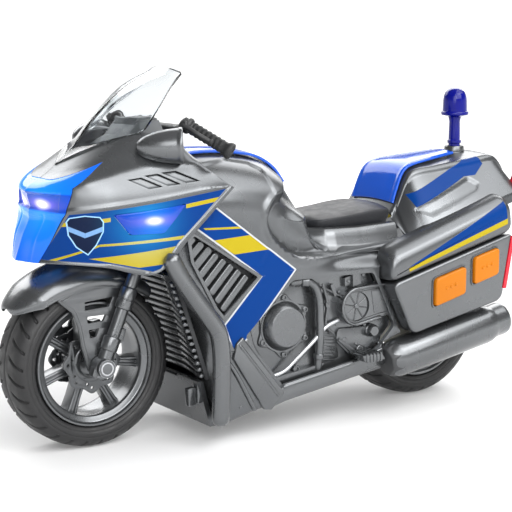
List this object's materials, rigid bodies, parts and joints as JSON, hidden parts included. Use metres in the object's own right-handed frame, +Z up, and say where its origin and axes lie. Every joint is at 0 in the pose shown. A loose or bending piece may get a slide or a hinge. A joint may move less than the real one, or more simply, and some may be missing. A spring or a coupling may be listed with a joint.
{
  "type": "toy police motorcycle",
  "caption": "Push-and-go toy police touring motorcycle with flywheel drive, fairing, clear windscreen, panniers, blue beacon, and light-and-sound buttons.",
  "frame": {"origin": "on the ground under the middle of the toy's bounding box", "axes": "+X forward, +Y to the rider's left, +Z up"},
  "size_m": [0.283, 0.106, 0.1755],
  "materials": {
    "silver_plastic": "silver-grey moulded plastic with fine metallic flake, satin gloss",
    "grey_plastic": "darker silver-grey moulded plastic, satin",
    "blue_plastic": "royal blue moulded plastic, glossy",
    "navy_plastic": "dark blue tinted plastic dome on its stem, glossy",
    "blue_lens": "translucent blue lens, polished",
    "clear_plastic": "clear polystyrene, polished",
    "black_plastic": "black moulded plastic, satin",
    "seat_plastic": "dark grey moulded seat, fine leather grain",
    "tyre": "soft black vinyl tyre with slash grooves",
    "orange_plastic": "orange moulded plastic, satin gloss",
    "red_plastic": "red translucent plastic, prismatic back",
    "steel": "bright drawn steel",
    "white_plastic": "natural nylon",
    "board": "green glass-fibre circuit board",
    "battery_case": "printed foil sleeve on three small cells"
  },
  "bodies": {
    "chassis": {"body_left": "silver_plastic", "body_right": "silver_plastic", "fairing_left": "silver_plastic", "fairing_right": "silver_plastic", "front_lens": "blue_lens", "side_lens_left": "blue_lens", "side_lens_right": "blue_lens", "windscreen": "clear_plastic", "dash_panel": "black_plastic", "handlebar": "black_plastic", "hand_guard_left": "silver_plastic", "hand_guard_right": "silver_plastic", "tank_cover": "blue_plastic", "side_grille_left": "grey_plastic", "side_grille_right": "grey_plastic", "engine_cover_left": "grey_plastic", "engine_cover_right": "grey_plastic", "belly_pan": "grey_plastic", "battery_door": "grey_plastic", "battery_pack": "battery_case", "radiator_grille": "grey_plastic", "crash_bar_left": "silver_plastic", "crash_bar_right": "silver_plastic", "speaker": "black_plastic", "circuit_board": "board", "fork_left": "silver_plastic", "fork_right": "silver_plastic", "front_fender": "silver_plastic", "front_axle": "steel", "gearbox": "white_plastic", "seat_pad": "seat_plastic", "tail_shell": "silver_plastic", "tail_cover": "blue_plastic", "beacon": "navy_plastic", "pannier_box_left": "grey_plastic", "pannier_box_right": "grey_plastic", "pannier_lid_left": "silver_plastic", "pannier_lid_right": "silver_plastic", "reflector_left": "red_plastic", "reflector_right": "red_plastic", "tail_light_left": "red_plastic", "tail_light_right": "red_plastic", "exhaust_left": "silver_plastic", "exhaust_right": "silver_plastic"},
    "front_wheel": {"front_rim": "silver_plastic", "front_tyre": "tyre", "brake_disc_left": "grey_plastic", "brake_disc_right": "grey_plastic"},
    "rear_wheel": {"rear_rim": "silver_plastic", "rear_tyre": "tyre", "rear_axle": "steel", "drive_gear": "white_plastic"},
    "cluster": {"cluster_gear": "white_plastic"},
    "flywheel_rotor": {"flywheel": "steel"},
    "front_key_left": {"front_button_left": "orange_plastic"},
    "front_key_right": {"front_button_right": "orange_plastic"},
    "rear_key_left": {"rear_button_left": "orange_plastic"},
    "rear_key_right": {"rear_button_right": "orange_plastic"},
    "switch_slider": {"power_switch": "black_plastic"}
  },
  "joints": [
    {"name": "front_wheel_spin", "type": "hinge", "parent": "chassis", "child": "front_wheel", "pos_m": [0.1015, 0, 0.04], "axis": [0, 1, 0], "continuous": true},
    {"name": "rear_wheel_spin", "type": "hinge", "parent": "chassis", "child": "rear_wheel", "pos_m": [-0.09, 0, 0.04], "axis": [0, 1, 0], "continuous": true},
    {"name": "cluster_spin", "type": "hinge", "parent": "chassis", "child": "cluster", "pos_m": [-0.07391, 0, 0.04483], "axis": [0, 1, 0], "continuous": true},
    {"name": "flywheel_spin", "type": "hinge", "parent": "chassis", "child": "flywheel_rotor", "pos_m": [-0.05782, 0, 0.04965], "axis": [0, 1, 0], "continuous": true},
    {"name": "front_key_left_press", "type": "slide", "parent": "chassis", "child": "front_key_left", "axis": [0, -1, 0], "range_m": [0, 0.0015], "stiffness_N_per_m": 400, "springref_m": -0.002},
    {"name": "front_key_right_press", "type": "slide", "parent": "chassis", "child": "front_key_right", "axis": [0, 1, 0], "range_m": [0, 0.0015], "stiffness_N_per_m": 400, "springref_m": -0.002},
    {"name": "rear_key_left_press", "type": "slide", "parent": "chassis", "child": "rear_key_left", "axis": [0, -1, 0], "range_m": [0, 0.0015], "stiffness_N_per_m": 400, "springref_m": -0.002},
    {"name": "rear_key_right_press", "type": "slide", "parent": "chassis", "child": "rear_key_right", "axis": [0, 1, 0], "range_m": [0, 0.0015], "stiffness_N_per_m": 400, "springref_m": -0.002},
    {"name": "switch_slide", "type": "slide", "parent": "chassis", "child": "switch_slider", "axis": [1, 0, 0], "range_m": [0, 0.003]}
  ],
  "couplings": [
    {"joint": "cluster_spin", "follows": "rear_wheel_spin", "ratio": -3},
    {"joint": "flywheel_spin", "follows": "rear_wheel_spin", "ratio": 9}
  ]
}
